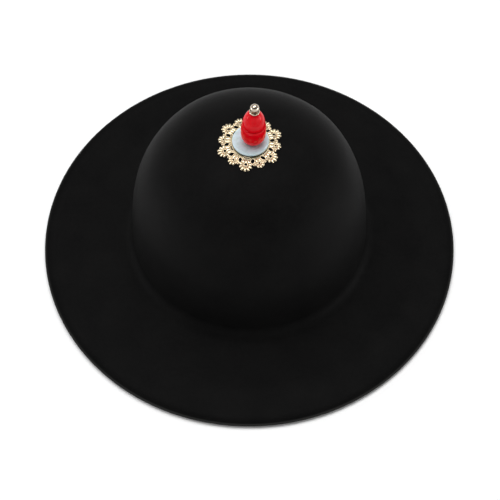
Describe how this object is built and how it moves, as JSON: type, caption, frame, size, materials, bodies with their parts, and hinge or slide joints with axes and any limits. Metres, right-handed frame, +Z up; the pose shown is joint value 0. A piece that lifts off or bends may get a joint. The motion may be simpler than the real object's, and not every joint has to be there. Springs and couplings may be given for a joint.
{
  "type": "wide-brimmed round-crown felt hat",
  "caption": "Black felt hat with a smooth domed crown, a wide round brim with a softly upturned edge, and a small gold, opal and red bead ornament on the crown's top.",
  "frame": {"origin": "on the surface that the brim rests on, under the middle of the hat", "axes": "+Z up along the crown's axis, -Y towards the viewer of the picture, +X to the viewer's right"},
  "size_m": [0.3298, 0.3298, 0.1858],
  "materials": {
    "black_felt": "matt brushed wool felt with a faint nap sheen",
    "champagne_gold": "pale gold plate, polished",
    "pale_opal": "polished, bluish white with a faint play of pink and green",
    "red_bead": "deep clear red, high gloss",
    "plain_steel": "plain wire and flat head"
  },
  "bodies": {
    "root": {"felt_body": "black_felt", "filigree_plate": "champagne_gold", "opal_disc": "pale_opal", "lower_red_bead": "red_bead", "upper_red_bead": "red_bead", "gold_collar": "champagne_gold", "gold_ball": "champagne_gold", "finial_post": "plain_steel"}
  },
  "joints": []
}
